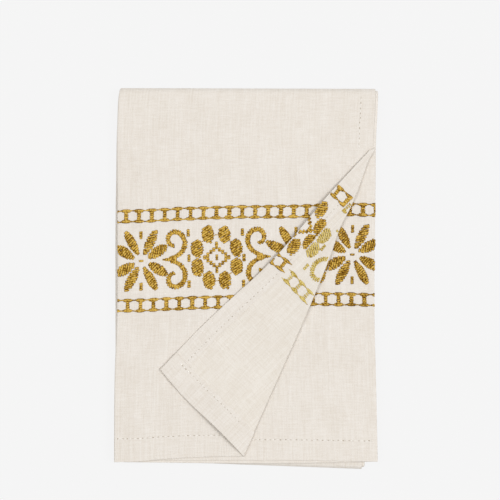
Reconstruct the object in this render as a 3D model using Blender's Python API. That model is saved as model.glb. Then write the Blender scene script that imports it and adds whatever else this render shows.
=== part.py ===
"""Tea towel, folded in thirds across, then in thirds along, with one corner turned back.

The towel is one hemmed cloth. It is drawn flat as a thin slab, cut along its folds, and
each of its points is then folded: the turned corner first, then the thirds across, then
the thirds along. Flat places are in millimetres: across from the free edge of the top
panel, along from the embroidered end, and lift off the middle of the cloth towards its
right side. Folded, the cloth lies on z = 0 with the embroidered end towards -Y.
"""

import math

import bmesh
import bpy
import numpy as np

MM = 0.001

# The cloth, a standard 20 by 28 inch towel
WIDTH = 508.0
LENGTH = 711.0
THICKNESS = 1.0
LAYER_GAP = 0.3
PITCH = THICKNESS + LAYER_GAP
HALF = THICKNESS / 2

# Thirds across: the outer panel shows, the back panel is under it, the inner one between
OUTER_WIDTH = 169.6
LEFT_BEND = PITCH
BACK_WIDTH = 170.2
RIGHT_BEND = PITCH / 2
INNER_WIDTH = WIDTH - OUTER_WIDTH - BACK_WIDTH - math.pi * (LEFT_BEND + RIGHT_BEND)
FREE_EDGE_INSET = 2.0

# Thirds along: the front on top, the base on the table, the tucked end between them
BASE_LEVEL = PITCH + HALF
TUCKED_LEVEL = BASE_LEVEL + 3 * PITCH
FRONT_LEVEL = TUCKED_LEVEL + 3 * PITCH
TOP_BEND = (FRONT_LEVEL - BASE_LEVEL) / 2
BOTTOM_BEND = (TUCKED_LEVEL - BASE_LEVEL) / 2
FRONT_LENGTH = 238.5
BASE_LENGTH = 239.5
TOP_ARC = math.pi * TOP_BEND
BOTTOM_ARC = math.pi * BOTTOM_BEND
TUCKED_LENGTH = LENGTH - FRONT_LENGTH - BASE_LENGTH - TOP_ARC - BOTTOM_ARC

# Pieces of the flat cloth between its folds, and the equal steps that each is cut into
ACROSS_RUNS = (
    ("outer", OUTER_WIDTH, 11),
    ("left bend", math.pi * LEFT_BEND, 5),
    ("back", BACK_WIDTH, 8),
    ("right bend", math.pi * RIGHT_BEND, 4),
    ("inner", INNER_WIDTH, 7),
)
ALONG_RUNS = (
    ("front", FRONT_LENGTH, 14),
    ("top bend", TOP_ARC, 7),
    ("base", BASE_LENGTH, 8),
    ("bottom bend", BOTTOM_ARC, 5),
    ("tucked", TUCKED_LENGTH, 6),
)

# Outline of the front third: y, left edge, right edge
FRONT_OUTLINE = (
    (125.6, -83.1, 86.9),
    (117.4, -84.2, 86.7),
    (107.6, -84.6, 86.3),
    (94.4, -85.3, 85.6),
    (64.8, -85.9, 85.2),
    (41.9, -85.9, 84.9),
    (-33.7, -86.2, 84.6),
    (-106.0, -86.9, 86.3),
    (-119.8, -86.9, 86.6),
)
# Outline of the two thirds under it, which lie askew by two degrees: y, left edge, right edge
UNDER_OUTLINE = (
    (125.6, -83.1, 86.9),
    (117.4, -84.0, 86.6),
    (60.0, -84.6, 84.6),
    (-40.0, -85.3, 81.2),
    (-112.0, -85.8, 78.6),
    (-121.0, -85.6, 78.2),
    (-125.7, -85.0, 76.4),
)
# Height of the folds at the left and right sides: the fold's outer face
TOP_FOLD_Y = (125.7, 125.2)
BOTTOM_FOLD_Y = (-119.8, -125.7)
# Free hem of the front third: place across the flat cloth, y
HEM_LINE = (
    (0.0, -117.5),
    (122.0, -117.5),
    (140.0, -118.6),
    (152.0, -119.8),
    (171.6, -120.4),
    (200.0, -120.8),
    (290.0, -121.3),
    (345.0, -120.2),
    (380.0, -119.6),
    (508.0, -119.4),
)

# The turned corner: where its crease meets the side edge and the hem of the flat cloth
CREASE_ALONG = 202.4
CREASE_ACROSS = 86.3
CREASE_BEND_TOP = PITCH / 2
CREASE_BEND_HEM = 1.5
CREASE_STEPS = 5
# Outer face of the crease as it lies: y, x
CREASE_LINE = (
    (84.2, 83.6),
    (64.0, 75.6),
    (47.8, 69.0),
    (34.3, 62.2),
    (16.7, 55.9),
    (-18.6, 41.6),
    (-63.6, 21.7),
    (-115.8, -1.7),
)
# Side edge of the turned corner as it lies, from the crease's top to the towel's corner: x, y
TURNED_EDGE = (
    (83.3, 84.2),
    (75.9, 79.6),
    (63.9, 65.7),
    (51.1, 51.7),
    (37.8, 35.6),
    (25.6, 21.3),
    (10.2, 5.2),
    (-7.1, -10.6),
    (-25.0, -27.3),
    (-57.4, -60.0),
)
# Free cloth past the crease over which the side edge takes that shape
EDGE_FADE = 12.0
# The turned corner's hem bows out near the corner, in near the crease, and stands off the towel
HEM_BOW = 0.8
HEM_WAVE = 0.9
HEM_LIFT = 1.2
HEM_REACH = 80.0

# Soft unevenness of the pile, as a share of the height: x, y, reach, share
SWELLS = (
    (-20.0, 75.0, 70.0, 0.040),
    (-55.0, -70.0, 60.0, 0.035),
    (62.0, -95.0, 45.0, 0.030),
    (50.0, 5.0, 50.0, -0.015),
)

LINEN_COLOUR = (0.78, 0.73, 0.66, 1.0)
LINEN_ROUGHNESS = 0.9
SHARP_ANGLE = math.radians(60)


def smooth(share):
    """Ease a share of 0 to 1 in and out."""
    share = min(max(share, 0.0), 1.0)
    return share * share * (3 - 2 * share)


def read_curve(rows, at, column):
    """Read a column of a table at a place in its first column, along a smooth curve."""
    places = np.array([row[0] for row in rows])
    values = np.array([row[column] for row in rows])
    if places[0] > places[-1]:
        places, values = places[::-1], values[::-1]
    at = min(max(at, places[0]), places[-1])
    slopes = np.gradient(values, places)
    left = min(int(np.searchsorted(places, at, side="right")) - 1, len(places) - 2)
    span = places[left + 1] - places[left]
    share = (at - places[left]) / span
    rise = smooth(share)
    bend_in = share * (1 - share) ** 2 * slopes[left]
    bend_out = share * share * (share - 1) * slopes[left + 1]
    return values[left] + rise * (values[left + 1] - values[left]) + span * (bend_in + bend_out)


def point_along(points, share):
    """Return the point a share of the way along a line of points."""
    points = np.array(points)
    lengths = np.linalg.norm(np.diff(points, axis=0), axis=1)
    travel = np.concatenate(([0.0], np.cumsum(lengths))) / lengths.sum()
    rows = [(way, x, y) for way, (x, y) in zip(travel, points)]
    return np.array([read_curve(rows, share, 1), read_curve(rows, share, 2)])


def run_and_share(runs, place):
    """Name the run that holds a place on the flat cloth, and the share of it before the place."""
    start = 0.0
    for name, length, _ in runs:
        if place <= start + length or name == runs[-1][0]:
            return name, (place - start) / length
        start += length


def mix(start, end, share):
    return start + (end - start) * share


def side_share(across):
    """Return how far across the pile a place of the flat cloth lies, 0 at the left, 1 at the right."""
    run, share = run_and_share(ACROSS_RUNS, across)
    return {
        "outer": 1 - share,
        "left bend": 0.0,
        "back": share,
        "right bend": 1.0,
        "inner": 1 - share * INNER_WIDTH / BACK_WIDTH,
    }[run]


def fold_across(across, lift, left, right):
    """Fold the thirds across: return x, and the level above the middle of the three layers."""
    run, share = run_and_share(ACROSS_RUNS, across)
    left_centre = left + LEFT_BEND + HALF
    right_centre = right - RIGHT_BEND - HALF
    turn = math.pi * share
    if run == "outer":
        return mix(right - FREE_EDGE_INSET, left_centre, share), PITCH + lift
    if run == "left bend":
        radius = LEFT_BEND + lift
        return left_centre - radius * math.sin(turn), radius * math.cos(turn)
    if run == "back":
        return mix(left_centre, right_centre, share), -PITCH - lift
    if run == "right bend":
        radius = RIGHT_BEND + lift
        return right_centre + radius * math.sin(turn), -RIGHT_BEND - radius * math.cos(turn)
    return mix(right_centre, left_centre, share * INNER_WIDTH / BACK_WIDTH), lift


def level_across(across, lift):
    """Return the level alone, which doesn't depend on the outline."""
    return fold_across(across, lift, 0.0, 0.0)[1]


def fold_along(across, along, level):
    """Fold the thirds along: return y, z and the outline that the point lies in."""
    run, share = run_and_share(ALONG_RUNS, along)
    side = side_share(across)
    outer_reach = PITCH + HALF
    top = mix(*TOP_FOLD_Y, side) - TOP_BEND - outer_reach
    bottom = mix(*BOTTOM_FOLD_Y, side) + BOTTOM_BEND + outer_reach
    turn = math.pi * share
    if run == "front":
        return mix(read_curve(HEM_LINE, across, 1), top, share), FRONT_LEVEL + level, FRONT_OUTLINE
    if run == "top bend":
        radius = TOP_BEND + level
        outline = FRONT_OUTLINE if share < 0.5 else UNDER_OUTLINE
        return top + radius * math.sin(turn), TUCKED_LEVEL + radius * math.cos(turn), outline
    if run == "base":
        return mix(top, bottom, share), BASE_LEVEL - level, UNDER_OUTLINE
    if run == "bottom bend":
        radius = BOTTOM_BEND + level
        centre = BASE_LEVEL + BOTTOM_BEND
        return bottom - radius * math.sin(turn), centre - radius * math.cos(turn), UNDER_OUTLINE
    return bottom + share * TUCKED_LENGTH, TUCKED_LEVEL + level, UNDER_OUTLINE


def crease_across(along):
    """Return where the crease of the turned corner crosses a row of the flat cloth."""
    return CREASE_ACROSS * max(0.0, 1 - along / CREASE_ALONG)


def crease_bend(along):
    """Return the radius of that crease at a row."""
    return mix(CREASE_BEND_HEM, CREASE_BEND_TOP, min(1.0, along / CREASE_ALONG))


def crease_x(y, along):
    """Return where the outer panel starts to bend up at the crease."""
    return read_curve(CREASE_LINE, y, 1) - crease_bend(along) - HALF


def turn_corner(across, along, lift):
    """Fold a point past the crease back over the outer panel: return x, y and z."""
    crease = crease_across(along)
    radius = crease_bend(along)
    y, floor, _ = fold_along(crease, along, PITCH)
    diagonal = math.hypot(CREASE_ALONG, CREASE_ACROSS)
    slant = CREASE_ACROSS / diagonal
    upright = CREASE_ALONG / diagonal
    down_crease = np.array([-slant, -upright])
    out_of_crease = np.array([upright, -slant])
    start = np.array([crease_x(y, along), y])
    past = crease - across
    bend_width = math.pi * radius / upright
    if past < bend_width:
        turn = past * upright / radius
        reach = (radius - lift) * math.sin(turn)
        x, y = start - down_crease * slant * past + out_of_crease * reach
        return x, y, floor + radius - (radius - lift) * math.cos(turn)
    bend_end = start - down_crease * slant * bend_width
    free_width = crease - bend_width
    share = (past - bend_width) / free_width
    mirrored = bend_end - free_width * (slant * down_crease + upright * out_of_crease)
    edge = point_along(TURNED_EDGE, 1 - along / CREASE_ALONG)
    edge = mix(mirrored, edge, smooth(free_width / EDGE_FADE))
    near_hem = max(0.0, 1 - along / HEM_REACH) ** 2
    arch = math.sin(math.pi * share) * near_hem
    wave = math.sin(2 * math.pi * share) * near_hem
    x, y = mix(bend_end, edge, share) + down_crease * (HEM_BOW * arch - HEM_WAVE * wave)
    height = mix(2 * radius, PITCH, smooth(share)) + HEM_LIFT * arch
    return x, y, floor + height - lift


def place_flat(across, along, lift):
    """Fold one point of the flat cloth: return x, y and z before the pile's unevenness."""
    crease = crease_across(along)
    if across < crease:
        return turn_corner(across, along, lift)
    level = level_across(across, lift)
    y, z, outline = fold_along(across, along, level)
    left = read_curve(outline, y, 1)
    right = read_curve(outline, y, 2)
    if crease > 0 and across < OUTER_WIDTH:
        share = (across - crease) / (OUTER_WIDTH - crease)
        return mix(crease_x(y, along), left + LEFT_BEND + HALF, share), y, z
    return fold_across(across, lift, left, right)[0], y, z


def place(across, along, lift):
    """Fold one point of the flat cloth and return it in metres."""
    x, y, z = place_flat(across, along, lift)
    for centre_x, centre_y, reach, share in SWELLS:
        distance = math.hypot(x - centre_x, y - centre_y) / reach
        z *= 1 + share * math.exp(-distance * distance)
    return x * MM, y * MM, z * MM


def cut(bm, point, normal):
    """Cut the flat cloth along a straight line."""
    everything = bm.verts[:] + bm.edges[:] + bm.faces[:]
    bmesh.ops.bisect_plane(bm, geom=everything, plane_co=point, plane_no=normal)


def cut_stations(bm, runs, normal):
    """Cut the flat cloth at each step of its runs."""
    start = 0.0
    for _, length, steps in runs:
        for step in range(1, steps + 1):
            station = start + length * step / steps
            cut(bm, tuple(station * part for part in normal), normal)
        start += length


def cut_crease(bm):
    """Cut the flat cloth along the lines of the turned corner's bend."""
    for step in range(CREASE_STEPS + 1):
        ends = []
        for along in (0.0, CREASE_ALONG):
            arc = math.pi * crease_bend(along) * math.hypot(CREASE_ALONG, CREASE_ACROSS) / CREASE_ALONG
            ends.append((crease_across(along) - arc * step / CREASE_STEPS, along))
        (x_hem, y_hem), (x_top, y_top) = ends
        cut(bm, (x_hem, y_hem, 0.0), (y_top - y_hem, x_hem - x_top, 0.0))


def build_towel(collection, material):
    """Make the flat slab, cut it along its folds and fold it."""
    bm = bmesh.new()
    bmesh.ops.create_grid(bm, x_segments=1, y_segments=1, size=0.5)
    bmesh.ops.translate(bm, verts=bm.verts, vec=(0.5, 0.5, 0.0))
    bmesh.ops.scale(bm, verts=bm.verts, vec=(WIDTH, LENGTH, 1.0))
    cut_stations(bm, ACROSS_RUNS, (1.0, 0.0, 0.0))
    cut_stations(bm, ALONG_RUNS, (0.0, 1.0, 0.0))
    cut_crease(bm)
    bmesh.ops.triangulate(bm, faces=bm.faces[:])
    bmesh.ops.translate(bm, verts=bm.verts, vec=(0.0, 0.0, HALF))
    under = bmesh.ops.extrude_face_region(bm, geom=bm.faces[:], use_keep_orig=True)["geom"]
    under_verts = [item for item in under if isinstance(item, bmesh.types.BMVert)]
    bmesh.ops.translate(bm, verts=under_verts, vec=(0.0, 0.0, -THICKNESS))
    bmesh.ops.recalc_face_normals(bm, faces=bm.faces[:])
    for vert in bm.verts:
        vert.co = place(*vert.co)
    # Across the flat cloth is towards -X on the folded one, which mirrors the slab
    bmesh.ops.reverse_faces(bm, faces=bm.faces[:])
    mesh = bpy.data.meshes.new("towel")
    bm.to_mesh(mesh)
    bm.free()
    mesh.shade_smooth()
    mesh.set_sharp_from_angle(angle=SHARP_ANGLE)
    mesh.materials.append(material)
    towel = bpy.data.objects.new("towel", mesh)
    collection.objects.link(towel)


def make_linen():
    material = bpy.data.materials.new("linen")
    material.use_nodes = True
    shader = material.node_tree.nodes["Principled BSDF"]
    shader.inputs["Base Color"].default_value = LINEN_COLOUR
    shader.inputs["Roughness"].default_value = LINEN_ROUGHNESS
    shader.inputs["Metallic"].default_value = 0.0
    return material


def main():
    for old in list(bpy.data.objects):
        bpy.data.objects.remove(old, do_unlink=True)
    collection = bpy.data.collections.new("tea_towel")
    bpy.context.scene.collection.children.link(collection)
    build_towel(collection, make_linen())


main()
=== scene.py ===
"""Looks of the folded tea towel: hemmed linen, a band of thick satin stitch, floor, light, camera.

Flat places are in millimetres, as in the frame's own source: across from the free edge of the
top panel, along from the embroidered end, and lift off the middle of the cloth towards its right
side. Past the towel's edges they run on into the hems, which are turned to the wrong side.
"""

import math

import bmesh
import bpy
import numpy as np
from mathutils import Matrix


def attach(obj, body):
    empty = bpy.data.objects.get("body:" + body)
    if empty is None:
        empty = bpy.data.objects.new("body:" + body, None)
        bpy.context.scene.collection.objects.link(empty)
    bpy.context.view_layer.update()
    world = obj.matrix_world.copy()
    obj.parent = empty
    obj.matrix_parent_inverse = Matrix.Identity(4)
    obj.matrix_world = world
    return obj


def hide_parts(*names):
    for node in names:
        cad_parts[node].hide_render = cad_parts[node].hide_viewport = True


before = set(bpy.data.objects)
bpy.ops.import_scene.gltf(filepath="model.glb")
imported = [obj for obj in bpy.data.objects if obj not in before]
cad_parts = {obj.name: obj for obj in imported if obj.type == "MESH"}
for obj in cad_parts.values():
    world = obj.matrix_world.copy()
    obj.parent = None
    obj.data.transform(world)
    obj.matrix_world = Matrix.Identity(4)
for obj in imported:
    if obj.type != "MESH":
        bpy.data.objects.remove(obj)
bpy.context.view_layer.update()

MM = 0.001

# The cloth
WIDTH = 508.0
LENGTH = 711.0
# Half its thickness, and from the middle of one layer to that of the next
HALF = 0.2
PITCH = 1.3
# Half the thickness of the frame's cloth
FRAME_HALF = 0.5
SIDE_HEM = 12.6
END_HEM = 16.2
# Towards its raw edges the cloth thins over this width, to this share
HEM_TAPER = 2.0
THINNEST = 0.45
# Radius of a hem's fold, and the cloth it takes besides the hem's width
HEM_BEND = 0.24
HEM_FOLD = 0.4
# Past the side hem the end hem comes down to one layer: from how far off, and over what width
HEM_STEP_START = 0.6
HEM_STEP_WIDTH = 3.0
SHARP_ANGLE = math.radians(60)

# Thirds across, as in the frame, with the left bend pinched to a share of its depth
OUTER_WIDTH = 169.6
LEFT_BEND = PITCH
LEFT_PINCH = 0.6
BACK_WIDTH = 170.2
RIGHT_BEND = PITCH / 2
LEFT_ARC = math.pi * LEFT_BEND
RIGHT_ARC = math.pi * RIGHT_BEND
INNER_START = OUTER_WIDTH + LEFT_ARC + BACK_WIDTH + RIGHT_ARC
INNER_WIDTH = WIDTH - INNER_START
FREE_EDGE_INSET = 2.0
ACROSS_RUNS = (OUTER_WIDTH, LEFT_ARC, BACK_WIDTH, RIGHT_ARC, INNER_WIDTH)

# Thirds along, as in the frame
BASE_LEVEL = PITCH + FRAME_HALF
TUCKED_LEVEL = BASE_LEVEL + 3 * PITCH
FRONT_LEVEL = TUCKED_LEVEL + 3 * PITCH
TOP_BEND = (FRONT_LEVEL - BASE_LEVEL) / 2
BOTTOM_BEND = (TUCKED_LEVEL - BASE_LEVEL) / 2
FRONT_LENGTH = 238.5
BASE_LENGTH = 239.5
TOP_ARC = math.pi * TOP_BEND
BOTTOM_ARC = math.pi * BOTTOM_BEND
TUCKED_LENGTH = LENGTH - FRONT_LENGTH - BASE_LENGTH - TOP_ARC - BOTTOM_ARC
ALONG_RUNS = (FRONT_LENGTH, TOP_ARC, BASE_LENGTH, BOTTOM_ARC, TUCKED_LENGTH)
# Numbers of the first two of these runs
FRONT, TOP = 0, 1

# Outline of the front third, and of the two thirds under it: y, left edge, right edge
FRONT_OUTLINE = (
    (125.6, -83.1, 86.9),
    (117.4, -84.2, 86.7),
    (107.6, -84.6, 86.3),
    (94.4, -85.0, 85.6),
    (64.8, -84.8, 85.2),
    (41.9, -84.8, 84.9),
    (-33.7, -85.3, 84.6),
    (-60.0, -86.4, 85.3),
    (-106.0, -86.9, 86.3),
    (-119.8, -86.9, 86.6),
)
UNDER_OUTLINE = (
    (125.6, -83.1, 86.9),
    (117.4, -84.0, 86.6),
    (60.0, -85.9, 84.6),
    (-40.0, -86.2, 81.2),
    (-112.0, -85.8, 78.6),
    (-121.0, -85.6, 78.2),
    (-125.7, -85.0, 78.0),
)
TOP_FOLD_Y = (125.7, 125.2)
BOTTOM_FOLD_Y = (-119.8, -125.7)
# Free hem of the front third: place across the flat cloth, y
HEM_LINE = (
    (0.0, -117.5),
    (122.0, -117.5),
    (140.0, -118.6),
    (152.0, -119.8),
    (171.6, -120.4),
    (200.0, -120.8),
    (290.0, -121.3),
    (345.0, -120.2),
    (380.0, -119.6),
    (508.0, -119.4),
)
# The layers part at the hem of the front third, to make room for the turned ends
HEM_ROOM = 26.0
HEM_ROOM_FADE = 12.0
OUTER_ROOM = 0.15
INNER_ROOM = 0.15

# The turned corner: its crease is sharper than in the frame, its tip 3 mm further up the free edge
CREASE_ALONG = 205.4
CREASE_ACROSS = 84.2
CREASE_BEND_TOP = 0.25
CREASE_BEND_HEM = 0.5
CREASE_STEPS = 8
CREASE_JOIN = 8.0
# Outer face of the crease as it lies: y, x
CREASE_LINE = (
    (87.4, 84.2),
    (76.0, 79.3),
    (64.0, 75.0),
    (47.8, 69.0),
    (34.3, 62.2),
    (16.7, 55.9),
    (-18.6, 41.6),
    (-63.6, 21.7),
    (-115.8, -1.7),
)
# Side edge of the turned corner as it lies, from the crease's top to the towel's corner: x, y
TURNED_EDGE = (
    (84.0, 87.4),
    (80.4, 83.4),
    (75.6, 78.4),
    (63.9, 65.7),
    (51.1, 51.7),
    (37.8, 35.6),
    (25.6, 21.3),
    (10.2, 5.2),
    (-7.1, -10.6),
    (-25.0, -27.3),
    (-56.4, -59.6),
)
# Next to the tip the flap narrows to this, and over this width its side edge leaves the plain mirror
NARROWEST = 0.02
EDGE_FADE = 0.8
# How far its end hem bows, waves and lifts, and how far along the cloth that reaches
HEM_BOW = 0.8
HEM_WAVE = 0.9
HEM_LIFT = 3.2
HEM_REACH = 80.0
# How high the flap lies over the outer panel, and how soon it comes down from the crease
FLAP_REST = 0.6
FLAP_DROP = 2.2
# The thick band holds the flap up: at its free edge, and as a share of the crease's height
PUFF = 3.2
CREASE_PUFF = 3.8
PUFF_ALONG = 134.0
PUFF_REACH = 50.0

# Soft unevenness of the pile, as a share of the height: x, y, reach, share
SWELLS = (
    (-20.0, 75.0, 70.0, 0.040),
    (-55.0, -70.0, 60.0, 0.035),
    (62.0, -95.0, 45.0, 0.030),
    (50.0, 5.0, 50.0, -0.015),
)
# Random waves in the pile, as a share of the height: size, share, seed
WAVES = (
    (38.0, 0.016, 3),
    (15.0, 0.008, 5),
    (7.0, 0.005, 8),
)

# Equal steps of the cloth's mesh: where they start, how many
ACROSS_STATIONS = (
    (-SIDE_HEM - HEM_FOLD, 6),
    (-0.7, 7),
    (0.35, 92),
    (OUTER_WIDTH, 10),
    (OUTER_WIDTH + LEFT_ARC, 22),
    (INNER_START - RIGHT_ARC, 8),
    (INNER_START, 50),
    (INNER_START + 92.0, 10),
    (WIDTH, 0),
)
ALONG_STATIONS = (
    (-END_HEM - HEM_FOLD, 6),
    (-2.1, 15),
    (1.0, 120),
    (FRONT_LENGTH, 14),
    (FRONT_LENGTH + TOP_ARC, 30),
    (LENGTH - TUCKED_LENGTH - BOTTOM_ARC, 10),
    (LENGTH - TUCKED_LENGTH, 18),
    (LENGTH, 0),
)


def smooth(share):
    """Ease a share of 0 to 1 in and out."""
    share = np.clip(share, 0.0, 1.0)
    return share * share * (3 - 2 * share)


def mix(start, end, share):
    """Return the value a share of the way from start to end."""
    return start + (end - start) * share


def read_curve(rows, at, column):
    """Read a column of a table at places in its first column, along a smooth curve."""
    places = np.array([row[0] for row in rows])
    values = np.array([row[column] for row in rows])
    if places[0] > places[-1]:
        places, values = places[::-1], values[::-1]
    at = np.clip(at, places[0], places[-1])
    slopes = np.gradient(values, places)
    left = np.minimum(np.searchsorted(places, at, side="right") - 1, len(places) - 2)
    span = places[left + 1] - places[left]
    share = (at - places[left]) / span
    bend_in = share * (1 - share) ** 2 * slopes[left]
    bend_out = share * share * (share - 1) * slopes[left + 1]
    return mix(values[left], values[left + 1], smooth(share)) + span * (bend_in + bend_out)


def point_along(points, share):
    """Return the points a share of the way along a line of points."""
    points = np.array(points)
    lengths = np.linalg.norm(np.diff(points, axis=0), axis=1)
    travel = np.concatenate(([0.0], np.cumsum(lengths))) / lengths.sum()
    rows = np.column_stack((travel, points))
    return read_curve(rows, share, 1), read_curve(rows, share, 2)


def ripple(x, y, size, seed):
    """Return a soft random field between -1 and 1 with waves of about the given size."""
    cells = 64
    table = np.random.default_rng(seed).uniform(-1, 1, (cells, cells))
    u, v = x / size, y / size
    column, row = np.floor(u).astype(int), np.floor(v).astype(int)
    right, up = smooth(u - column), smooth(v - row)
    low = mix(table[column % cells, row % cells], table[(column + 1) % cells, row % cells], right)
    high = mix(
        table[column % cells, (row + 1) % cells],
        table[(column + 1) % cells, (row + 1) % cells],
        right,
    )
    return mix(low, high, up)


def turn_edge(place, lift, radius):
    """Turn what lies past an edge to the wrong side: places are measured inwards from the edge."""
    angle = np.clip((radius - place) / radius, 0.0, math.pi)
    past = np.minimum(place - radius + math.pi * radius, 0.0)
    straight = place > radius
    turned = radius - (radius + lift) * np.sin(angle) - past
    level = (radius + lift) * np.cos(angle) - radius
    return np.where(straight, place, turned), np.where(straight, lift, level)


def turn_hems(across, along, lift):
    """Turn the side hem, and then the end hem over it."""
    across, lift = turn_edge(across, lift, HEM_BEND)
    over_side_hem = 1 - smooth((across - SIDE_HEM - HEM_STEP_START) / HEM_STEP_WIDTH)
    along, lift = turn_edge(along, lift, HEM_BEND * (1 + 2 * over_side_hem))
    return across, along, lift


def locate(runs, place):
    """Return the run that each place lies in, and the share of that run before it."""
    starts = np.concatenate(([0.0], np.cumsum(runs)))
    run = np.clip(np.searchsorted(starts, place) - 1, 0, len(runs) - 1)
    return run, (place - starts[run]) / np.array(runs)[run]


def hem_room(along):
    """Return 1 where the layers part to make room for their turned ends, 0 away from there."""
    return smooth((HEM_ROOM - along) / HEM_ROOM_FADE)


def side_share(across):
    """Return how far across the pile a place lies, 0 at the left, 1 at the right."""
    run, share = locate(ACROSS_RUNS, across)
    shares = [1 - share, 0 * share, share, 1 + 0 * share, 1 - share * INNER_WIDTH / BACK_WIDTH]
    return np.choose(run, shares)


def fold_across(across, along, lift, left, right):
    """Fold the thirds across: return x, and the level above the middle of the three layers."""
    run, share = locate(ACROSS_RUNS, across)
    room = hem_room(along)
    outer_level = PITCH + OUTER_ROOM * room
    inner_level = INNER_ROOM * room
    left_bend = (outer_level + PITCH) / 2
    right_bend = (inner_level + PITCH) / 2
    left_centre = left + LEFT_PINCH * (left_bend + HALF)
    right_centre = right - right_bend - HALF
    sine, cosine = np.sin(math.pi * share), np.cos(math.pi * share)
    inner_share = share * INNER_WIDTH / BACK_WIDTH
    x = [
        mix(right - FREE_EDGE_INSET, left_centre, share),
        left_centre - LEFT_PINCH * (left_bend + lift) * sine,
        mix(left_centre, right_centre, share),
        right_centre + (right_bend + lift) * sine,
        mix(right_centre, left_centre, inner_share),
    ]
    level = [
        outer_level + lift,
        left_bend - PITCH + (left_bend + lift) * cosine,
        -PITCH - lift,
        right_bend - PITCH - (right_bend + lift) * cosine,
        inner_level + lift,
    ]
    return np.choose(run, x), np.choose(run, level)


def fold_along(across, along, level):
    """Fold the thirds along: return y, z and the outline's left and right edges there."""
    run, share = locate(ALONG_RUNS, along)
    side = side_share(across)
    outer_reach = PITCH + HALF
    top = mix(*TOP_FOLD_Y, side) - TOP_BEND - outer_reach
    bottom = mix(*BOTTOM_FOLD_Y, side) + BOTTOM_BEND + outer_reach
    sine, cosine = np.sin(math.pi * share), np.cos(math.pi * share)
    y = np.choose(run, [
        mix(read_curve(HEM_LINE, across, 1), top, share),
        top + (TOP_BEND + level) * sine,
        mix(top, bottom, share),
        bottom - (BOTTOM_BEND + level) * sine,
        bottom + share * TUCKED_LENGTH,
    ])
    z = np.choose(run, [
        FRONT_LEVEL + level,
        TUCKED_LEVEL + (TOP_BEND + level) * cosine,
        BASE_LEVEL - level,
        BASE_LEVEL + BOTTOM_BEND - (BOTTOM_BEND + level) * cosine,
        TUCKED_LEVEL + level,
    ])
    front = (run == FRONT) | ((run == TOP) & (share < 0.5))
    left = np.where(front, read_curve(FRONT_OUTLINE, y, 1), read_curve(UNDER_OUTLINE, y, 1))
    right = np.where(front, read_curve(FRONT_OUTLINE, y, 2), read_curve(UNDER_OUTLINE, y, 2))
    return y, z, left, right


def crease_across(along):
    """Return where the crease of the turned corner crosses a row of the flat cloth."""
    return CREASE_ACROSS * np.maximum(0.0, 1 - along / CREASE_ALONG)


def crease_bend(along):
    """Return the radius of that crease at a row."""
    return mix(CREASE_BEND_HEM, CREASE_BEND_TOP, np.clip(along / CREASE_ALONG, 0.0, 1.0))


def band_puff(along):
    """Return 1 at the rows where the thick band holds the flap up, fading to 0 away from there."""
    return np.exp(-(((along - PUFF_ALONG) / PUFF_REACH) ** 2))


def crease_x(y, along):
    """Return where the outer panel starts to bend up at the crease."""
    crease = read_curve(CREASE_LINE, y, 1) - crease_bend(along) - HALF
    free_edge = read_curve(FRONT_OUTLINE, y, 2) - FREE_EDGE_INSET
    return mix(crease, free_edge, smooth((along - CREASE_ALONG) / CREASE_JOIN + 1))


def turn_corner(across, along, lift):
    """Fold points past the crease back over the outer panel: return x, y and z."""
    crease = crease_across(along)
    radius = crease_bend(along)
    outer_level = PITCH + OUTER_ROOM * hem_room(along)
    y, floor, _, _ = fold_along(crease, along, outer_level)
    diagonal = math.hypot(CREASE_ALONG, CREASE_ACROSS)
    slant = CREASE_ACROSS / diagonal
    upright = CREASE_ALONG / diagonal
    x = crease_x(y, along)
    past = crease - across
    bend_width = math.pi * radius / upright
    angle = np.minimum(past * upright / radius, math.pi)
    slide = slant * np.minimum(past, bend_width)
    reach = (radius - lift) * np.sin(angle)
    bend_x = x + slant * slide + upright * reach
    bend_y = y + upright * slide - slant * reach
    rise = radius * (1 + CREASE_PUFF * band_puff(along))
    bend_z = floor + rise - (rise - lift) * np.cos(angle)
    end_x = x + slant * slant * bend_width
    end_y = y + upright * slant * bend_width
    free_width = np.maximum(crease - bend_width, NARROWEST)
    share = (past - bend_width) / free_width
    mirrored_x = end_x - free_width * (upright * upright - slant * slant)
    mirrored_y = end_y + free_width * 2 * slant * upright
    edge_x, edge_y = point_along(TURNED_EDGE, 1 - along / CREASE_ALONG)
    shaped = smooth(free_width / EDGE_FADE)
    edge_x = mix(mirrored_x, edge_x, shaped)
    edge_y = mix(mirrored_y, edge_y, shaped)
    near_hem = np.maximum(0.0, 1 - along / HEM_REACH) ** 2
    inside = np.clip(share, 0.0, 1.0)
    arch = np.sin(math.pi * inside) * near_hem
    drop = HEM_BOW * arch - HEM_WAVE * np.sin(2 * math.pi * inside) * near_hem
    flat_x = mix(end_x, edge_x, share) - slant * drop
    flat_y = mix(end_y, edge_y, share) - upright * drop
    puff = PUFF * band_puff(along) * smooth(share)
    lifted = HEM_LIFT * np.sin(math.pi * inside ** 0.5) ** 3 * near_hem
    height = mix(2 * rise, FLAP_REST, smooth(share * FLAP_DROP)) + lifted + puff
    flat_z = floor + height - lift
    bent = past < bend_width
    return np.where(bent, bend_x, flat_x), np.where(bent, bend_y, flat_y), np.where(bent, bend_z, flat_z)


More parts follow.
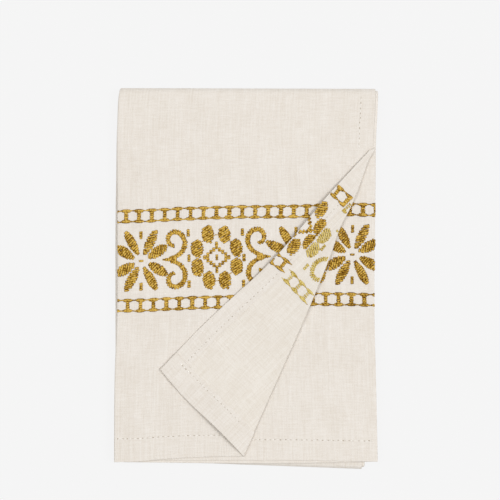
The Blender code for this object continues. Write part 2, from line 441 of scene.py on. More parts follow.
def fold_points(across, along, lift):
    """Fold points of the flat cloth and return them in metres."""
    across, along, lift = turn_hems(across, along, lift)
    crease = crease_across(along)
    _, level = fold_across(across, along, lift, 0.0, 0.0)
    y, z, left, right = fold_along(across, along, level)
    x, _ = fold_across(across, along, lift, left, right)
    cut_short = (crease > 0) & (across < OUTER_WIDTH)
    left_centre = left + LEFT_PINCH * (HALF + LEFT_BEND + OUTER_ROOM * hem_room(along) / 2)
    share = (across - crease) / (OUTER_WIDTH - crease)
    x = np.where(cut_short, mix(crease_x(y, along), left_centre, share), x)
    turned = (crease > 0) & (across < crease)
    turned_x, turned_y, turned_z = turn_corner(across, along, lift)
    x = np.where(turned, turned_x, x)
    y = np.where(turned, turned_y, y)
    z = np.where(turned, turned_z, z)
    stretch = np.ones_like(z)
    for centre_x, centre_y, reach, share in SWELLS:
        distance = np.hypot(x - centre_x, y - centre_y) / reach
        stretch += share * np.exp(-distance * distance)
    for size, share, seed in WAVES:
        stretch += share * ripple(x, y, size, seed)
    return np.column_stack((x, y, z * stretch)) * MM


# Map for baking the cloth, in shares of it: size and margin of a side, one face of the rim, and the
# rim's height and level
SIDE_MAP = (0.49, 0.975)
MAP_MARGIN = 0.005
RIM_FACE = ((0.1, 0.0), (0.9, 0.0), (0.9, 1.0), (0.1, 1.0))
RIM_MAP_HEIGHT = 0.01
RIM_MAP_LEVEL = 0.987
# A thread's own cell of its map: start and size of its body, middle and radii of its first cap, and
# how far on its last cap lies
BODY_START = (0.12, 0.05)
BODY_SIZE = (0.76, 0.9)
CAP_MIDDLE = (0.06, 0.5)
CAP_RADII = (0.04, 0.3)
LAST_CAP = 0.88


def cloth_map(flat, sides, rim):
    """Lay the right side, the wrong side and the rim next to each other, for baking."""
    low, high = flat.min(axis=0), flat.max(axis=0)
    share = (flat - low) / (high - low)
    right = share * SIDE_MAP + MAP_MARGIN
    both = np.concatenate((right, right + (0.5, 0.0)))
    rim_at = np.arange(rim)[:, None, None] / rim
    face = np.array(RIM_FACE)[None] * (1 / rim, RIM_MAP_HEIGHT)
    rim_map = rim_at * (1, 0) + face + (0.0, RIM_MAP_LEVEL)
    return np.concatenate((both[sides], rim_map.reshape(-1, 2)))


def thread_map(count, side):
    """Give each thread its own cell of a grid, for baking."""
    cells = math.ceil(math.sqrt(count))
    thread = np.arange(count)
    cell = np.column_stack((thread % cells, thread // cells))[:, None, :]
    section, around = np.meshgrid(np.arange(THREAD_SECTIONS - 1), np.arange(THREAD_SIDES), indexing="ij")
    corners = ((0, 0), (1, 0), (1, 1), (0, 1))[::side]
    faces = []
    for ahead, beside in corners:
        u = BODY_START[0] + BODY_SIZE[0] * (section + ahead) / (THREAD_SECTIONS - 1)
        v = BODY_START[1] + BODY_SIZE[1] * (around + beside) / THREAD_SIDES
        faces.append(np.stack((u, v), axis=-1))
    body = np.stack(faces, axis=2).reshape(-1, 2)
    turn = np.arange(THREAD_SIDES) * 2 * math.pi / THREAD_SIDES
    cap = CAP_MIDDLE + CAP_RADII * np.column_stack((np.cos(turn), np.sin(turn)))
    parts = [body, cap[::side], (cap + (LAST_CAP, 0.0))[::-side]]
    return np.concatenate([((cell + part[None]) / cells).reshape(-1, 2) for part in parts])


def new_object(name, mesh, material):
    """Make an object of a mesh and let it ride on the towel's body."""
    mesh.materials.append(material)
    obj = bpy.data.objects.new(name, mesh)
    bpy.context.scene.collection.objects.link(obj)
    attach(obj, "root")
    return obj


def stations(rows):
    """List the places of a mesh's lines, in equal steps between those of a table."""
    places = []
    for (start, steps), (end, _) in zip(rows, rows[1:]):
        places += [mix(start, end, step / steps) for step in range(steps)]
    return np.array(places + [rows[-1][0]])


def on_part(place, side, end):
    """Tell if a flat place is on the towel (1, 1), on its side hem (-1, 1) or on its end hem (1, -1)."""
    return (place.x > 0) == (side > 0) and (place.y > 0) == (end > 0)


def flat_grid():
    """Make the flat cloth with its lines: return a bmesh in flat places."""
    across, along = stations(ACROSS_STATIONS), stations(ALONG_STATIONS)
    columns, rows = len(across) - 1, len(along) - 1
    bm = bmesh.new()
    bmesh.ops.create_grid(bm, x_segments=columns, y_segments=rows, size=0.5)
    for vert in bm.verts:
        column = round((vert.co.x + 0.5) * columns)
        row = round((vert.co.y + 0.5) * rows)
        vert.co = (across[column], along[row], 0.0)
    # What a hem's own fold takes up, so that the crease's lines meet on both of its layers
    slack = (math.pi - 2) * HEM_BEND
    for step in range(CREASE_STEPS + 1):
        ends = []
        for row in (0.0, CREASE_ALONG):
            arc = math.pi * crease_bend(row) * math.hypot(CREASE_ALONG, CREASE_ACROSS) / CREASE_ALONG
            ends.append((crease_across(row) - arc * step / CREASE_STEPS, row))
        (x_hem, y_hem), (x_top, y_top) = ends
        for side, end in ((1, 1), (-1, 1), (1, -1)):
            part = [face for face in bm.faces if on_part(face.calc_center_median(), side, end)]
            edges = dict.fromkeys(edge for face in part for edge in face.edges)
            verts = dict.fromkeys(vert for face in part for vert in face.verts)
            start = (side * x_hem - (side < 0) * slack, end * y_hem - (end < 0) * slack, 0.0)
            normal = (end * (y_top - y_hem), side * (x_hem - x_top), 0.0)
            bmesh.ops.bisect_plane(bm, geom=[*verts, *edges, *part], plane_co=start, plane_no=normal)
    bmesh.ops.triangulate(bm, faces=[face for face in bm.faces if len(face.verts) > 4])
    return bm


def build_cloth(material):
    """Make the sheet from the flat grid: its right side, its wrong side and its rim."""
    bm = flat_grid()
    bm.verts.index_update()
    flat = np.array([vert.co[:2] for vert in bm.verts])
    count = len(flat)
    right_side = [[vert.index for vert in face.verts][::-1] for face in bm.faces]
    wrong_side = [[index + count for index in face[::-1]] for face in right_side]
    rim = []
    for edge in bm.edges:
        if edge.is_boundary:
            loop = edge.link_loops[0]
            a, b = loop.vert.index, loop.link_loop_next.vert.index
            rim.append([b + count, a + count, a, b])
    bm.free()
    to_raw_edge = np.minimum(flat[:, 0] - ACROSS_STATIONS[0][0], flat[:, 1] - ALONG_STATIONS[0][0])
    taper = THINNEST + (1 - THINNEST) * smooth(to_raw_edge / HEM_TAPER)
    points = np.concatenate((fold_points(*flat.T, HALF * (2 * taper - 1)), fold_points(*flat.T, -HALF)))
    faces = right_side + wrong_side + rim
    mesh = bpy.data.meshes.new("cloth")
    mesh.from_pydata(points, [], faces)
    corners = np.array([index for face in faces for index in face])
    flat_map = mesh.uv_layers.new(name="flat")
    flat_map.data.foreach_set("uv", (flat[corners % count] * MM).ravel())
    bake_map = mesh.uv_layers.new(name="OFBake")
    sides = corners[:sum(map(len, right_side + wrong_side))]
    bake_map.data.foreach_set("uv", cloth_map(flat, sides, len(rim)).ravel())
    side = mesh.attributes.new("wrong_side", "FLOAT", "POINT")
    side.data.foreach_set("value", np.repeat([0.0, 1.0], count))
    mesh.shade_smooth()
    mesh.set_sharp_from_angle(angle=SHARP_ANGLE)
    return new_object("cloth", mesh, material)


# The embroidered band: a hand-stitched border of flowers, scrolls and rings between two ladders
THREAD_PITCH = 1.42
THREAD_WIDTH = 1.55
THREAD_HEIGHT = 0.42
THREAD_SECTIONS = 6
THREAD_SIDES = 8
BAND_SEED = 21
HEM_SEED = 5
THREAD_DIP = 0.16
PADDING = 0.07
PADDING_FULL = 9.0
# A thread's width, height and painted light at its ends (painted shade where it dips into the cloth), as
# shares of those at its middle
END_WIDTH = 0.5
END_HEIGHT = 0.45
END_PAINTED_LIGHT = 0.75
CROWN_RISE = 0.35
SATIN_TILT = math.radians(28)
OVAL_TILT = math.radians(32)
DASH_TILT = math.radians(6)
TILT_SPREAD = math.radians(4)
WIDTH_SPREAD = 0.06
END_SPREAD = 0.12
SHORTEST_THREAD = 0.9
SHORTEST_ROW = 1.6
TINY = 1e-6
# Filled shapes: length and overlap of a row's stitches, steps that a row is looked at in, where the
# first row may lie, and how far the breaks in a row wander
FILL_STITCH = 2.9
FILL_OVERLAP = 0.5
FILL_STEPS = 161
FILL_START = (0.4, 0.6)
BREAK_SPREAD = 0.35
# Share of a spine over which its heading is read, on each side
HEADING_STEP = 0.02
PLACE_SPREAD = 0.15
# Ladders: a rung's half width, its spread and half height, and how many rungs each way at most
RUNG_HALF = 1.35
RUNG_SPREAD = 0.3
RUNG_REACH = 2.9
RUNGS = 22
RAIL_OFFSET = 3.55
RAIL_SPREAD = 0.12
# Threads of a rail, outermost first: half length, how far out, width
RAIL_THREADS = (
    (2.7, 0.5, 1.1),
    (4.1, 0.0, 1.3),
    (3.0, -0.6, 1.2),
)
LINK_START = 2.8
LINK_END = 1.2
LINK_WIDTH = 0.75
# Small stitches of the hems: pitch, length and rows, each from and to a place across and along, width
STITCH_PITCH = 3.4
STITCH_LENGTH = 1.7
STITCH_SPREAD = 0.08
# Short dark threads of painted shade at the needle holes between them: length, and how light the
# stitches and these shade marks are
HOLE_SHADE_LENGTH = 1.3
STITCH_TONE = 1.0
HOLE_SHADE_TONE = -1.6
HEM_STITCH_ROWS = (
    (72.0, 13.6, 172.0, 15.2, 0.5),
    (9.4, 203.0, 9.4, 238.0, 0.5),
    (346.0, 13.4, 450.0, 13.4, 0.5),
    (-9.7, 10.0, -9.7, 168.0, 0.35),
    (5.2, -14.0, 15.4, -14.0, 0.9),
    (15.4, -14.0, 62.0, -14.0, 0.35),
)
# On the wrong side the threads show from here inwards, up to so far from the crease
CLEAR_OF_HEM = SIDE_HEM + 0.7
CLEAR_OF_CREASE = 1.6
# How thick they are there, as a share of the right side's
BACK_SHARE = {"flowers": 0.85, "scrolls": 0.75, "rings": 0.85, "ladders": 0.65}
# The side hem was sewn down askew: how far its part of the band is turned and moved along
HEM_SKEW = 0.08
HEM_SHIFT = 1.3
HEM_SKEW_AT = 133.8
# The panels that show it: first and last place across, shade of its threads, places of one rung of
# the upper and of the lower ladder and their pitch
BAND_PANELS = {
    "hem": (-SIDE_HEM - HEM_FOLD, 0.0, 0.0, -5.4, -5.8, 8.54),
    "corner": (CLEAR_OF_HEM, 60.0, 0.0, 14.1, 18.2, 8.54),
    "outer": (0.0, 171.0, 0.0, 164.5, 163.4, 8.54),
    "inner": (344.8, 440.0, -0.3, 353.3, 351.9, 8.6),
}
# What lies between the ladders: panel, motif, place across, and which side a scroll opens to or how
# many times as far as usual a flower or ring reaches
BAND_MOTIFS = (
    ("hem", "rings", 0.8, 0.9),
    ("corner", "rings", 2.85, 1.07),
    ("corner", "scrolls", 39.7, 1.0),
    ("corner", "flowers", 53.2, 1.0),
    ("outer", "flowers", 154.6, 0.94),
    ("outer", "scrolls", 140.5, 1.0),
    ("outer", "rings", 104.5, 1.0),
    ("outer", "scrolls", 68.6, -1.0),
    ("outer", "flowers", 51.2, 1.1),
    ("inner", "flowers", 360.1, 1.0),
    ("inner", "scrolls", 375.3, -1.0),
)
# Middles of the band and of its ladders: place across, then their places along
BAND_LINES = (
    (-12.0, 134.1, 163.8, 105.4),
    (0.0, 133.8, 164.6, 104.6),
    (25.0, 133.2, 163.3, 103.4),
    (53.8, 132.6, 162.2, 102.6),
    (104.4, 131.8, 161.4, 102.1),
    (154.5, 130.7, 160.0, 101.7),
    (180.0, 130.7, 159.5, 101.7),
    (340.0, 134.9, 164.3, 105.5),
    (508.0, 134.9, 164.3, 105.5),
)
BAND, UPPER, LOWER = 1, 2, 3
PETAL_SKEW = 1.1
PETAL_ROUND = 0.55
# One petal of each kind, mirrored to all four quarters: base right, base up, tip right, tip up, half
# width, and the slant of its threads in degrees where it leans right and where it leans left
PETALS = (
    (1.4, 3.4, 10.8, 20.1, 3.25, 12.0, 42.0),
    (4.3, 1.4, 18.9, 9.8, 3.65, 78.0, 50.0),
)
FLOWER_DASHES = ((0.0, 16.8), (0.0, -16.8))
# Two threads across its middle: right, up, right, up, width
FLOWER_MIDDLE = ((-1.8, 0.2, 1.8, 0.3, 0.9), (-1.7, -0.3, 1.7, -0.25, 0.9))
# Ovals of the ring, mirrored to all four quarters: right, up
RING_OVALS = ((5.35, 15.1), (12.9, 6.15))
OVAL_HALF = (4.4, 6.15)
RING_DASHES = ((18.0, -0.3), (17.5, 16.6), (-18.4, -0.3), (-18.6, 16.4), (17.6, -17.4), (-18.4, -17.4))
# Half width and half height of each kind of dash and block
FLOWER_DASH = (1.25, 2.5)
RING_DASH = (1.2, 2.4)
DIAMOND_BLOCK = (1.15, 1.35)
DIAMOND_MIDDLE = (0.9, 1.9)
# Threads that travel between the ovals: right, up, right, up, width
RING_TRAVELS = (
    (-1.5, 14.7, 1.5, 15.0, 0.5),
    (-1.5, -15.6, 1.5, -15.4, 0.5),
    (-10.6, 9.8, -8.2, 11.2, 0.5),
    (8.2, 11.2, 10.6, 9.8, 0.5),
    (-10.4, -9.8, -8.0, -11.2, 0.5),
    (8.0, -11.2, 10.4, -9.8, 0.5),
)
DIAMOND_STEPS = ((1.9, 5.1), (3.9, 3.6), (5.9, 1.9))
DIAMOND_POINTS = (
    (6.1, 0.0),
    (8.0, 0.0),
    (-6.1, 0.0),
    (-8.0, 0.0),
    (0.0, 6.8),
    (0.0, 9.0),
    (0.0, -6.8),
    (0.0, -9.0),
)
# Upper half of a scroll from its join to its curl: right, up; the lower half mirrors it
SCROLL = (
    (5.2, 0.7),
    (9.3, 2.1),
    (13.2, 5.2),
    (15.0, 9.4),
    (14.5, 13.6),
    (12.0, 16.9),
    (8.5, 18.1),
    (5.3, 16.8),
    (3.9, 13.7),
    (4.9, 10.3),
    (8.1, 8.7),
)
SCROLL_HALF = 2.0
SCROLL_ENDS = 0.8
SCROLL_SWELL = 0.25
WEDGE = ((0.2, 0.0), (9.4, 0.0))
WEDGE_HALF = 2.5
WEDGE_START = 0.25


def satin(spine, half_width, tilt, spread):
    """Lay threads side by side across a spine: rows of right, up, right, up, width."""
    spine = np.array(spine)
    length = np.linalg.norm(np.diff(spine, axis=0), axis=1).sum()
    count = max(1, round(length / THREAD_PITCH))
    shares = (np.arange(count) + 0.5) / count
    x, y = point_along(spine, shares)
    ahead_x, ahead_y = point_along(spine, shares + HEADING_STEP)
    behind_x, behind_y = point_along(spine, shares - HEADING_STEP)
    heading = np.arctan2(ahead_y - behind_y, ahead_x - behind_x)
    angle = heading - math.pi / 2 + tilt + spread.normal(0, TILT_SPREAD, count)
    half = half_width(shares) * (1 + spread.normal(0, WIDTH_SPREAD, count))
    reach_x, reach_y = np.cos(angle) * half, np.sin(angle) * half
    width = np.full(count, THREAD_WIDTH * length / count / THREAD_PITCH)
    return np.column_stack((x - reach_x, y - reach_y, x + reach_x, y + reach_y, width))


def fill(spine, half_width, tilt, spread):
    """Fill a shape round a straight spine with parallel threads at one angle: rows as for satin."""
    base, tip = np.array(spine)
    length = math.dist(base, tip)
    heading = (tip - base) / length
    reach = length / 2 + half_width(0.5)
    count = round(2 * reach / THREAD_PITCH)
    steps = np.linspace(-reach, reach, FILL_STEPS)
    rows = []
    for step in (np.arange(count) + spread.uniform(*FILL_START)) * THREAD_PITCH - reach:
        angle = tilt + spread.normal(0, TILT_SPREAD / 2)
        run = np.array((math.cos(angle), math.sin(angle)))
        points = (base + tip) / 2 + step * np.array((-run[1], run[0])) + steps[:, None] * run
        along = (points - base) @ heading / length
        aside = (points - base) @ (-heading[1], heading[0])
        inside = np.flatnonzero((np.abs(aside) < half_width(along)) & (along > 0) & (along < 1))
        if len(inside) and steps[inside[-1]] - steps[inside[0]] > SHORTEST_ROW:
            first, last = steps[inside[[0, -1]]] + spread.normal(0, END_SPREAD, 2)
            pieces = max(1, round((last - first) / FILL_STITCH))
            order = np.arange(1, pieces) + spread.uniform(-BREAK_SPREAD, BREAK_SPREAD, pieces - 1)
            breaks = first + (last - first) * order / pieces
            line = (base + tip) / 2 + step * np.array((-run[1], run[0]))
            starts = line + np.array((first, *(breaks - FILL_OVERLAP)))[:, None] * run
            ends = line + np.array((*(breaks + FILL_OVERLAP), last))[:, None] * run
            rows += [(*start, *end, THREAD_WIDTH) for start, end in zip(starts, ends)]
    return np.array(rows)


def petal_width(half):
    """Return the half width of a petal at a share of its length."""
    return lambda share: half * np.sin(math.pi * np.clip(share, 0.0, 1.0) ** PETAL_SKEW) ** PETAL_ROUND


def oval_width(half):
    """Return the half width of an oval at a share of its length."""
    return lambda share: half * np.sqrt(np.clip(1 - (2 * share - 1) ** 2, 0.0, 1.0))


def even_width(half):
    """Return the same half width all along."""
    return lambda share: half + 0 * share


def scroll_width(share):
    """Return the half width of a scroll's stroke, widest at its middle."""
    return SCROLL_HALF * (SCROLL_ENDS + SCROLL_SWELL * np.sin(math.pi * share))


def wedge_width(share):
    """Return the half width of the wedge, widest at its end."""
    return WEDGE_HALF * mix(WEDGE_START, 1.0, share)


def quarters(rows):
    """Mirror each right and up of some rows to the four quarters."""
    return [(side * x, end * y) for x, y in rows for side in (1, -1) for end in (1, -1)]


def dash(x, y, size, spread):
    """Lay a short upright bar of threads, of a half width and half height."""
    half, reach = size
    return satin(((x, y - reach), (x, y + reach)), even_width(half), DASH_TILT, spread)


def flower(reach, spread):
    """Lay eight petals, the flat ones reaching so many times as far, with a dash above and below."""
    parts = []
    for base_x, base_y, tip_x, tip_y, half, right_slant, left_slant in PETALS:
        if tip_x > tip_y:
            tip_x = tip_x * reach
        for side in (1, -1):
            for end in (1, -1):
                nudge_x, nudge_y = spread.normal(0, PLACE_SPREAD, 2)
                spine = ((side * base_x, end * base_y), (side * tip_x + nudge_x, end * tip_y + nudge_y))
                slant = math.radians(right_slant if side == end else left_slant)
                parts.append(fill(spine, petal_width(half), slant, spread))
    parts += [dash(x, y, FLOWER_DASH, spread) for x, y in FLOWER_DASHES]
    parts.append(np.array(FLOWER_MIDDLE))
    return np.concatenate(parts)


def scroll(side, spread):
    """Lay two curled strokes and the wedge they spring from, opening to one side."""
    parts = [satin([(side * x, y) for x, y in WEDGE], wedge_width, 0.0, spread)]
    for end in (1, -1):
        parts.append(satin([(side * x, end * y) for x, y in SCROLL], scroll_width, SATIN_TILT, spread))
    return np.concatenate(parts)


def ring(reach, spread):
    """Lay eight ovals round a diamond of small blocks, with dashes on both sides."""
    parts = []
    half_x, half_y = OVAL_HALF
    for x, y in quarters(RING_OVALS):
        x, y = (x * reach, y) + spread.normal(0, PLACE_SPREAD, 2)
        parts.append(fill(((x, y - half_y), (x, y + half_y)), oval_width(half_x), OVAL_TILT, spread))
    for x, y in quarters(DIAMOND_STEPS) + list(DIAMOND_POINTS):
        parts.append(dash(x, y, DIAMOND_BLOCK, spread))
    parts.append(dash(0.0, 0.0, DIAMOND_MIDDLE, spread))
    parts += [dash(x, y, RING_DASH, spread) for x, y in RING_DASHES]
    parts.append(np.array(RING_TRAVELS))
    return np.concatenate(parts)


def ladder_unit(pitch, spread):
    """Lay one rung, the boat-shaped rails across its ends and the thin links to the next ones."""
    rung_width = even_width(RUNG_HALF + spread.uniform(0, RUNG_SPREAD))
    parts = [satin(((0.0, -RUNG_REACH), (0.0, RUNG_REACH)), rung_width, DASH_TILT, spread)]
    for end in (1, -1):
        outer, inner = end * RAIL_OFFSET + spread.normal(0, RAIL_SPREAD, (2, 2))
        rows = []
        for (half, out, width), (left, right) in zip(RAIL_THREADS, (outer, outer, inner)):
            rows.append((-half, left + end * out, half, right + end * out, width))
        rows.append((LINK_START, outer[1], pitch - LINK_END, end * RAIL_OFFSET, LINK_WIDTH))
        parts.append(np.array(rows))
    return np.concatenate(parts)


def set_down(threads, across, along):
    """Move a motif's threads to their place on the flat cloth: across, along, across, along, width."""
    return threads * (-1, 1, -1, 1, 1) + (across, along, across, along, 0)


def skew_on_hem(threads):
    """Turn and move the threads of the side hem by as much as it is askew."""
    across, along = threads[:, 0:3:2], threads[:, 1:4:2]
    skewed = threads.copy()
    skewed[:, 0:3:2] = across + HEM_SKEW * (along - HEM_SKEW_AT)
    skewed[:, 1:4:2] = along + HEM_SHIFT - HEM_SKEW * across
    return skewed


def cut_between(threads, first, last):
    """Cut the threads at two places across, and keep what lies between them."""
    start, run = threads[:, 0:2], threads[:, 2:4] - threads[:, 0:2]
    step = np.where(np.abs(run[:, 0]) < TINY, TINY, run[:, 0])
    shares = np.sort(np.column_stack((first - start[:, 0], last - start[:, 0])) / step[:, None])
    low, high = np.clip(shares, 0.0, 1.0).T
    cut = threads.copy()
    cut[:, 0:2] = start + run * low[:, None]
    cut[:, 2:4] = start + run * high[:, None]
    return cut[(high - low) * np.hypot(*run.T) > SHORTEST_THREAD]


def keep_on_panel(threads, panel, first, last):
    """Drop the threads that lie off a panel, and cut those that reach past its edges."""
    threads = cut_between(threads, first, last)
    across, along, _ = turn_hems(threads[:, 0:3:2].mean(axis=1), threads[:, 1:4:2].mean(axis=1), 0.0)
    crease = crease_across(along)
    if panel == "hem":
        return threads[across < crease]
    if panel == "corner":
        return threads[across < crease - CLEAR_OF_CREASE]
    return threads[across > crease]


def band_threads(panel):
    """List the threads of each part of the band on a panel."""
    spread = np.random.default_rng(BAND_SEED)
    first, last, shade, upper_at, lower_at, pitch = BAND_PANELS[panel]
    parts = {"flowers": [], "scrolls": [], "rings": [], "ladders": []}
    makers = {"flowers": flower, "scrolls": scroll, "rings": ring}
    for on_panel, name, across, turn in BAND_MOTIFS:
        if on_panel == panel:
            along = read_curve(BAND_LINES, across, BAND)
            parts[name].append(set_down(makers[name](turn, spread), across, along))
    for rung_at, line in ((upper_at, UPPER), (lower_at, LOWER)):
        for step in range(-RUNGS, RUNGS):
            across = rung_at + step * pitch
            if first - pitch < across < last + pitch:
                along = read_curve(BAND_LINES, across, line)
                parts["ladders"].append(set_down(ladder_unit(pitch, spread), across, along))
    kept = {}
    for name, rows in parts.items():
        if rows:
            threads = np.concatenate(rows)
            if panel == "hem":
                threads = skew_on_hem(threads)
            threads = keep_on_panel(threads, panel, first, last)
            kept[name] = np.column_stack((threads, np.full(len(threads), shade)))
    return kept


def thread_mesh(name, threads, side):
    """Make closed half-round threads that dip into the cloth at both ends, on one side of it.

    Their rows hold where each starts and ends across and along, its width and its shade.
    """
    count = len(threads)
    spread = np.random.default_rng(count)
    share = (1 - np.cos(np.linspace(0, math.pi, THREAD_SECTIONS))) / 2
    around = np.arange(THREAD_SIDES) * 2 * math.pi / THREAD_SIDES
    start, run = threads[:, 0:2], threads[:, 2:4] - threads[:, 0:2]
    length = np.linalg.norm(run, axis=1)
    sideways = np.column_stack((-run[:, 1], run[:, 0])) / length[:, None]
    full = np.sin(math.pi * share) ** 0.5
    width = threads[:, 4, None] / 2 * mix(END_WIDTH, 1.0, full)
    height = THREAD_HEIGHT * threads[:, 4, None] / THREAD_WIDTH
    rise = height / 2 * mix(END_HEIGHT, 1.0, full)
    padding = PADDING * np.minimum(length, PADDING_FULL)[:, None] * np.sin(math.pi * share)
    middle = HALF - THREAD_DIP + (THREAD_DIP + height * CROWN_RISE) * full + padding
    centre = start[:, None] + run[:, None] * share[None, :, None]
    across = np.cos(around)[None, None, :] * width[:, :, None]
    flat = centre[:, :, None, :] + sideways[:, None, None, :] * across[..., None]
    lift = middle[:, :, None] + np.sin(around)[None, None, :] * rise[:, :, None]
    points = fold_points(flat[..., 0].ravel(), flat[..., 1].ravel(), side * lift.ravel())
    layout = (count, THREAD_SECTIONS, THREAD_SIDES)
    index = np.arange(math.prod(layout)).reshape(layout)
    ahead = np.roll(index, -1, axis=2)
    quads = np.stack((index[:, :-1], index[:, 1:], ahead[:, 1:], ahead[:, :-1]), axis=3).reshape(-1, 4)
    first_caps, last_caps = index[:, 0], index[:, -1, ::-1]
    if side < 0:
        quads, first_caps, last_caps = quads[:, ::-1], first_caps[:, ::-1], last_caps[:, ::-1]
    mesh = bpy.data.meshes.new(name)
    mesh.from_pydata(points, [], quads.tolist() + first_caps.tolist() + last_caps.tolist())
    bake_map = mesh.uv_layers.new(name="OFBake")
    bake_map.data.foreach_set("uv", thread_map(count, side).ravel())
    tones = np.repeat(spread.uniform(0, 1, count) + threads[:, 5], THREAD_SECTIONS * THREAD_SIDES)
    # Painted light: a painted highlight along each thread's top, and painted shade down its sides and at
    # its ends
    painted_light_share = np.maximum(np.sin(around), 0.0) * mix(END_PAINTED_LIGHT, 1.0, full[:, None])
    painted_crown_light = np.broadcast_to(painted_light_share, flat.shape[:3]).ravel()
    for attribute, values in (("tone", tones), ("painted_crown_light", painted_crown_light)):
        mesh.attributes.new(attribute, "FLOAT", "POINT").data.foreach_set("value", values)
    mesh.shade_smooth()
    return mesh


def hem_threads():
    """List the small stitches of the hems, and short dark threads of painted shade at the needle holes
    between them, on the panels that show them.
    """
    spread = np.random.default_rng(HEM_SEED)
    rows = []
    for start_across, start_along, end_across, end_along, width in HEM_STITCH_ROWS:
        length = math.hypot(end_across - start_across, end_along - start_along)
        count = round(length / STITCH_PITCH)
        heading = np.array((end_across - start_across, end_along - start_along)) / length
        steps = (np.arange(count) + 0.5 + spread.normal(0, STITCH_SPREAD, count)) * STITCH_PITCH
        starts = np.array((start_across, start_along)) + steps[:, None] * heading
        ends = starts + heading * STITCH_LENGTH + spread.normal(0, STITCH_SPREAD, (count, 2))
        # Dark threads of painted shade stand where the needle holes dip between the stitches
        hole_shade_starts = ends + heading * (STITCH_PITCH - STITCH_LENGTH - HOLE_SHADE_LENGTH) / 2
        hole_shade_ends = hole_shade_starts + heading * HOLE_SHADE_LENGTH
        widths = np.full(count, width)
        rows.append(np.column_stack((starts, ends, widths, np.full(count, STITCH_TONE))))
        rows.append(np.column_stack((hole_shade_starts, hole_shade_ends, widths, np.full(count, HOLE_SHADE_TONE))))
    return np.concatenate(rows)


# Colours of the threads, dark, body and light, where the dark stands in part for painted shade at their
# sides, feet and needle holes and the light for a painted highlight on their crowns, and of the linen's
# two sides, dark and light
GOLD = ((72, 36, 0), (147, 106, 8), (221, 182, 84))
GOLD_BACK = ((126, 84, 0), (195, 166, 66), (228, 208, 132))
SEWING = ((166, 152, 130), (232, 225, 214), (249, 246, 239))
LINEN_RIGHT = ((213, 202, 187), (245, 241, 235))
LINEN_WRONG = ((214, 203, 187), (245, 241, 234))
BODY_AT = 0.55


def build_embroidery():
    """Make the band's threads where they show: on the right side, and on the turned corner's back."""
    gold = make_thread("gold_thread", *GOLD)
    pale = make_thread("gold_thread_back", *GOLD_BACK)
    right_side = {"flowers": [], "scrolls": [], "rings": [], "ladders": []}
    wrong_side = []
    for panel in BAND_PANELS:
        for name, threads in band_threads(panel).items():
            if panel == "corner":
                threads[:, 4] *= BACK_SHARE[name]
                wrong_side.append(threads)
            else:
                right_side[name].append(threads)
    pieces = []
    for name, threads in right_side.items():
        mesh = thread_mesh("embroidered_" + name, np.concatenate(threads), 1)
        pieces.append(new_object("embroidered_" + name, mesh, gold))
    mesh = thread_mesh("embroidery_back", np.concatenate(wrong_side), -1)
    pieces.append(new_object("embroidery_back", mesh, pale))
    sewing_thread = make_thread("sewing_thread", *SEWING)
    mesh = thread_mesh("hem_stitches", hem_threads(), 1)
    hem_stitches = new_object("hem_stitches", mesh, sewing_thread)
    return pieces + [hem_stitches]


def linear(*levels):
    """Turn a colour of 0 to 255 levels, as a screen shows it, into linear light."""
    shares = [level / 255 for level in levels]
    return tuple(((share + 0.055) / 1.055) ** 2.4 for share in shares) + (1.0,)


def add_node(tree, kind, inputs, **settings):
    """Add a shader node: its inputs are values, or the outputs of other nodes."""
    node = tree.nodes.new("ShaderNode" + kind)
    for name, value in settings.items():
        setattr(node, name, value)
    for name, value in inputs.items():
        if isinstance(value, bpy.types.NodeSocket):
            tree.links.new(value, node.inputs[name])
        else:
            node.inputs[name].default_value = value
    return node


def new_material(name, roughness):
    """Make an empty material: return it, its tree and its shader."""
    material = bpy.data.materials.new(name)
    material.use_nodes = True
    shader = material.node_tree.nodes["Principled BSDF"]
    shader.inputs["Roughness"].default_value = roughness
    return material, material.node_tree, shader


def noise(tree, place, across, along, detail=2.0):
    """Add a noise whose grains measure so much across and along, in millimetres."""
    scale = (1 / (across * MM), 1 / (along * MM), 1.0)
    stretched = add_node(tree, "Mapping", {"Vector": place, "Scale": scale})
    inputs = {"Vector": stretched.outputs["Vector"], "Scale": 1.0, "Detail": detail}
    return add_node(tree, "TexNoise", inputs, noise_dimensions="2D").outputs["Fac"]


def add_up(tree, terms):
    """Add up outputs times their weights, each output counted from its middle value of a half."""
    total = 0.5
    for output, weight in terms:
        centred = add_node(tree, "Math", {0: output, 1: 0.5}, operation="SUBTRACT")
        inputs = {0: centred.outputs[0], 1: weight, 2: total}
        total = add_node(tree, "Math", inputs, operation="MULTIPLY_ADD").outputs[0]
    return total


def make_linen():
    """Make slubby plain-weave linen: threads both ways, uneven in tone and in thickness."""
    material, tree, shader = new_material("linen", 0.92)
    place = add_node(tree, "UVMap", {}, uv_map="flat").outputs["UV"]
    warp = noise(tree, place, 1.0, 12.0)
    weft = noise(tree, place, 9.0, 1.0)
    slubs = noise(tree, place, 2.0, 70.0)
    grain = noise(tree, place, 0.7, 0.7)
    cloud = noise(tree, place, 14.0, 26.0)
    tone = add_up(tree, ((warp, 0.35), (weft, 0.35), (slubs, 0.22), (grain, 0.45), (cloud, 0.22)))
    wrong_side = add_node(tree, "Attribute", {}, attribute_name="wrong_side").outputs["Fac"]
    sides = []
    for dark, light in (LINEN_RIGHT, LINEN_WRONG):
        inputs = {"Factor": tone, "A": linear(*dark), "B": linear(*light)}
        sides.append(add_node(tree, "Mix", inputs, data_type="RGBA").outputs["Result"])
    inputs = {"Factor": wrong_side, "A": sides[0], "B": sides[1]}
    colour = add_node(tree, "Mix", inputs, data_type="RGBA").outputs["Result"]
    tree.links.new(colour, shader.inputs["Base Color"])
    height = add_up(tree, ((warp, 1.0), (weft, 1.0), (slubs, 0.6), (grain, 0.8)))
    bump = add_node(tree, "Bump", {"Height": height, "Strength": 0.3, "Distance": 0.0004})
    tree.links.new(bump.outputs["Normal"], shader.inputs["Normal"])
    shader.inputs["Sheen Weight"].default_value = 0.15
    return material


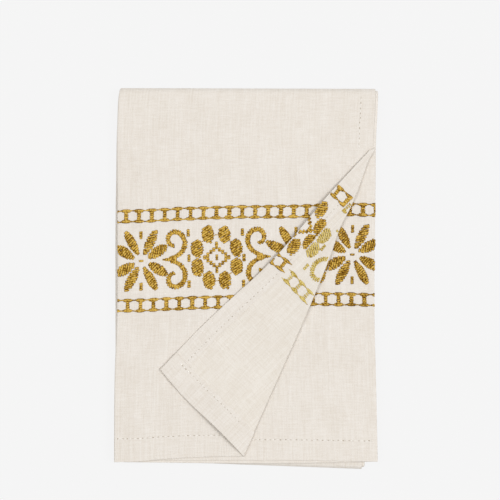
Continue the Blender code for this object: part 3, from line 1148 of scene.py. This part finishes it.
def make_thread(name, *levels):
    """Make stitched floss: painted shade at the threads' feet and sides, a painted highlight on their
    crowns, uneven and flecked.
    """
    dark, body, light = (linear(*colour) for colour in levels)
    material, tree, shader = new_material(name, 0.6)
    tone = add_node(tree, "Attribute", {}, attribute_name="tone").outputs["Fac"]
    painted_crown_light = add_node(tree, "Attribute", {}, attribute_name="painted_crown_light").outputs["Fac"]
    place = add_node(tree, "TexCoord", {}).outputs["Object"]
    inputs = {"Vector": place, "Scale": 1000.0, "Detail": 2.0}
    fleck = add_node(tree, "TexNoise", inputs).outputs["Fac"]
    # The threads' painted highlight and painted shade are mixed in with their random tone and flecks
    factor = add_up(tree, ((tone, 0.35), (painted_crown_light, 0.9), (fleck, 2.4)))
    ramp = add_node(tree, "ValToRGB", {"Fac": factor})
    ramp.color_ramp.elements[0].color = dark
    ramp.color_ramp.elements[1].color = light
    ramp.color_ramp.elements.new(BODY_AT).color = body
    tree.links.new(ramp.outputs["Color"], shader.inputs["Base Color"])
    shader.inputs["Specular IOR Level"].default_value = 0.15
    return material


# Floor: size in metres, levels of its colour and of its own glow, and the glow's strength
FLOOR_SIZE = 6.0
FLOOR_LEVELS = (60, 60, 60)
GLOW_LEVELS = (245, 245, 245)
GLOW = 0.95
# Light from all round: colour and strength
ROOM_COLOUR = (1.0, 0.975, 0.945, 1.0)
ROOM_STRENGTH = 0.46
# Two soft lights, one on each side: place and power, and the size and colour of both
KEYS = (
    ((2.4, 0.1, 4.4), 109.0),
    ((-1.8, 1.0, 4.6), 63.0),
)
KEY_SIZE = 1.8
KEY_COLOUR = (0.985, 1.0, 1.03)
# Camera, straight above: the point it looks at, the width it sees there, both in metres, and its lens
LOOK_AT = (0.0025, 0.0189, 0.0112)
VIEW_WIDTH = 0.3285
LENS = 150.0


def make_floor():
    """Make the plain pale floor, which isn't part of the towel."""
    bpy.ops.mesh.primitive_plane_add(size=FLOOR_SIZE)
    floor = bpy.context.object
    floor.name = "floor"
    material = bpy.data.materials.new("floor")
    material.use_nodes = True
    shader = material.node_tree.nodes["Principled BSDF"]
    shader.inputs["Base Color"].default_value = linear(*FLOOR_LEVELS)
    shader.inputs["Roughness"].default_value = 0.9
    shader.inputs["Specular IOR Level"].default_value = 0.0
    shader.inputs["Emission Color"].default_value = linear(*GLOW_LEVELS)
    shader.inputs["Emission Strength"].default_value = GLOW
    floor.data.materials.append(material)


def make_light():
    """Make the soft light of a studio."""
    world = bpy.data.worlds.new("studio")
    bpy.context.scene.world = world
    world.use_nodes = True
    background = world.node_tree.nodes["Background"]
    background.inputs["Color"].default_value = ROOM_COLOUR
    background.inputs["Strength"].default_value = ROOM_STRENGTH
    for location, energy in KEYS:
        light = bpy.data.lights.new("key", "AREA")
        light.size = KEY_SIZE
        light.energy = energy
        light.color = KEY_COLOUR
        key = bpy.data.objects.new("key", light)
        key.location = location
        key.rotation_euler = (-key.location).to_track_quat("-Z", "Y").to_euler()
        bpy.context.scene.collection.objects.link(key)


def make_camera():
    """Make the camera at the photograph's viewing angle."""
    data = bpy.data.cameras.new("camera")
    data.lens = LENS
    camera = bpy.data.objects.new("camera", data)
    x, y, level = LOOK_AT
    camera.location = (x, y, level + VIEW_WIDTH * data.lens / data.sensor_width)
    bpy.context.scene.collection.objects.link(camera)
    bpy.context.scene.camera = camera


bpy.context.scene.view_settings.view_transform = "Standard"
make_camera()
make_light()
make_floor()
cloth = build_cloth(make_linen())
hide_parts("towel")
embroidery = build_embroidery()
